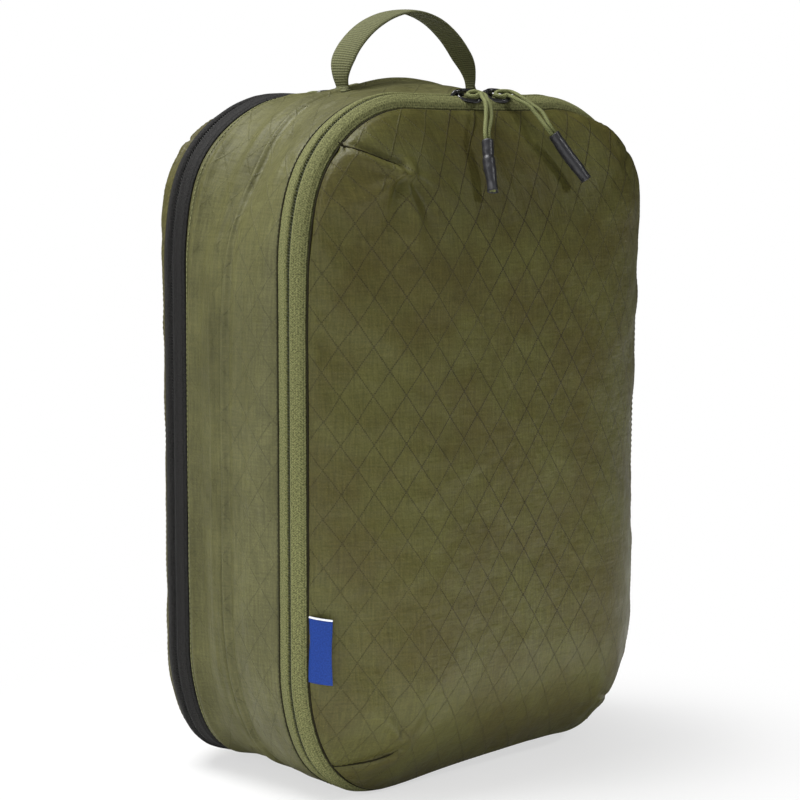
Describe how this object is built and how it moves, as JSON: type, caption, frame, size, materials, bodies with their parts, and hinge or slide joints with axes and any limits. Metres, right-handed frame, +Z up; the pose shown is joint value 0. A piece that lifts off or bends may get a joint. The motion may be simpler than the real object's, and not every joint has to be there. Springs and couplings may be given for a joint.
{
  "type": "packing cube",
  "caption": "Soft upright packing cube with a stuffed zipped compartment on each side of a middle divider, cord zip pulls and a webbing top handle.",
  "frame": {"origin": "middle of the base, on the underside of the gusset strips by the middle seam", "axes": "+Z up along the cube's height, -Y towards the front compartment, +X to the right seen from the front"},
  "size_m": [0.248, 0.1908, 0.407],
  "materials": {
    "ripstop_olive": "thin coated ripstop, soft sheen",
    "plain_olive": "plain coated nylon",
    "zip_tape_olive": "woven zip tape",
    "zip_tape_black": "woven zip tape",
    "webbing_olive": "ribbed webbing",
    "black_metal": "gloss black",
    "sleeve_black": "shrunk tube, satin",
    "cord_olive": "braided cord",
    "coil_dark": "nylon coil",
    "label_blue": "woven label",
    "divider_cloth": "plain lining"
  },
  "bodies": {
    "bag_body": {"front_gusset": "ripstop_olive", "rear_gusset": "plain_olive", "divider_panel": "divider_cloth", "handle_base_left": "webbing_olive", "handle_base_right": "webbing_olive", "front_tape_body": "zip_tape_olive", "front_coil_body": "coil_dark", "front_hinge_strip_body": "ripstop_olive", "rear_tape_body": "zip_tape_black", "rear_coil_body": "coil_dark", "rear_hinge_strip_body": "plain_olive"},
    "handle": {"handle_webbing": "webbing_olive"},
    "front_lid": {"front_panel": "ripstop_olive", "front_tape_lid": "zip_tape_olive", "front_coil_lid": "coil_dark", "front_hinge_strip_lid": "ripstop_olive", "front_lid_binding": "zip_tape_olive"},
    "front_slider_left_body": {"front_slider_left": "black_metal"},
    "front_ring_left_body": {"front_pull_ring_left": "black_metal"},
    "front_pull_left_body": {"front_pull_cord_left": "cord_olive", "front_pull_sleeve_left": "sleeve_black"},
    "front_slider_right_body": {"front_slider_right": "black_metal"},
    "front_ring_right_body": {"front_pull_ring_right": "black_metal"},
    "front_pull_right_body": {"front_pull_cord_right": "cord_olive", "front_pull_sleeve_right": "sleeve_black"},
    "rear_lid": {"rear_panel": "plain_olive", "rear_tape_lid": "zip_tape_black", "rear_coil_lid": "coil_dark", "rear_hinge_strip_lid": "plain_olive", "rear_lid_binding": "zip_tape_black"},
    "rear_slider_left_body": {"rear_slider_left": "black_metal"},
    "rear_ring_left_body": {"rear_pull_ring_left": "black_metal"},
    "rear_pull_left_body": {"rear_pull_cord_left": "cord_olive", "rear_pull_sleeve_left": "sleeve_black"},
    "rear_slider_right_body": {"rear_slider_right": "black_metal"},
    "rear_ring_right_body": {"rear_pull_ring_right": "black_metal"},
    "rear_pull_right_body": {"rear_pull_cord_right": "cord_olive", "rear_pull_sleeve_right": "sleeve_black"},
    "label": {"woven_label": "label_blue"}
  },
  "joints": [
    {"name": "handle_fold", "type": "hinge", "parent": "bag_body", "child": "handle", "pos_m": [0, 0, 0.3655], "axis": [1, 0, 0], "range_deg": [-70, 70], "stiffness_Nm_per_rad": 0.004},
    {"name": "front_lid_hinge", "type": "hinge", "parent": "bag_body", "child": "front_lid", "pos_m": [0, -0.0469, -0.0002], "axis": [1, 0, 0], "range_deg": [0, 75]},
    {"name": "front_slider_left_slide", "type": "slide", "parent": "front_lid", "child": "front_slider_left_body", "axis": [-1, 0, 0], "range_m": [0, 0.033]},
    {"name": "front_ring_left_hinge", "type": "hinge", "parent": "front_slider_left_body", "child": "front_ring_left_body", "pos_m": [-0.0095, -0.04806, 0.36051], "axis": [-0.6002, -0.7986, -0.0449], "range_deg": [0, 45]},
    {"name": "front_pull_left_hinge", "type": "hinge", "parent": "front_ring_left_body", "child": "front_pull_left_body", "pos_m": [0.00285, -0.05724, 0.35863], "axis": [-0.9723, 0, 0.2337], "range_deg": [0, 45]},
    {"name": "front_slider_right_slide", "type": "slide", "parent": "front_lid", "child": "front_slider_right_body", "axis": [1, 0, 0], "range_m": [0, 0.033]},
    {"name": "front_ring_right_hinge", "type": "hinge", "parent": "front_slider_right_body", "child": "front_ring_right_body", "pos_m": [0.0115, -0.04806, 0.36051], "axis": [-0.3765, -0.9225, -0.0855], "range_deg": [0, 45]},
    {"name": "front_pull_right_hinge", "type": "hinge", "parent": "front_ring_right_body", "child": "front_pull_right_body", "pos_m": [0.02585, -0.05382, 0.35947], "axis": [-0.8716, 0, -0.4903], "range_deg": [0, 36]},
    {"name": "rear_lid_hinge", "type": "hinge", "parent": "bag_body", "child": "rear_lid", "pos_m": [0, 0.0469, -0.0002], "axis": [-1, 0, 0], "range_deg": [0, 75]},
    {"name": "rear_slider_left_slide", "type": "slide", "parent": "rear_lid", "child": "rear_slider_left_body", "axis": [1, 0, 0], "range_m": [0, 0.033]},
    {"name": "rear_ring_left_hinge", "type": "hinge", "parent": "rear_slider_left_body", "child": "rear_ring_left_body", "pos_m": [0.0095, 0.04806, 0.36051], "axis": [0.6002, 0.7986, -0.0449], "range_deg": [0, 45]},
    {"name": "rear_pull_left_hinge", "type": "hinge", "parent": "rear_ring_left_body", "child": "rear_pull_left_body", "pos_m": [-0.00285, 0.05724, 0.35863], "axis": [0.9723, 0, 0.2337], "range_deg": [0, 45]},
    {"name": "rear_slider_right_slide", "type": "slide", "parent": "rear_lid", "child": "rear_slider_right_body", "axis": [-1, 0, 0], "range_m": [0, 0.033]},
    {"name": "rear_ring_right_hinge", "type": "hinge", "parent": "rear_slider_right_body", "child": "rear_ring_right_body", "pos_m": [-0.0115, 0.04806, 0.36051], "axis": [0.3765, 0.9225, -0.0855], "range_deg": [0, 45]},
    {"name": "rear_pull_right_hinge", "type": "hinge", "parent": "rear_ring_right_body", "child": "rear_pull_right_body", "pos_m": [-0.02585, 0.05382, 0.35947], "axis": [0.8716, 0, -0.4903], "range_deg": [0, 36]},
    {"name": "label_flap", "type": "hinge", "parent": "front_lid", "child": "label", "pos_m": [-0.1209, -0.0564, 0.0825], "axis": [0, 0, -1], "range_deg": [0, 90]}
  ]
}
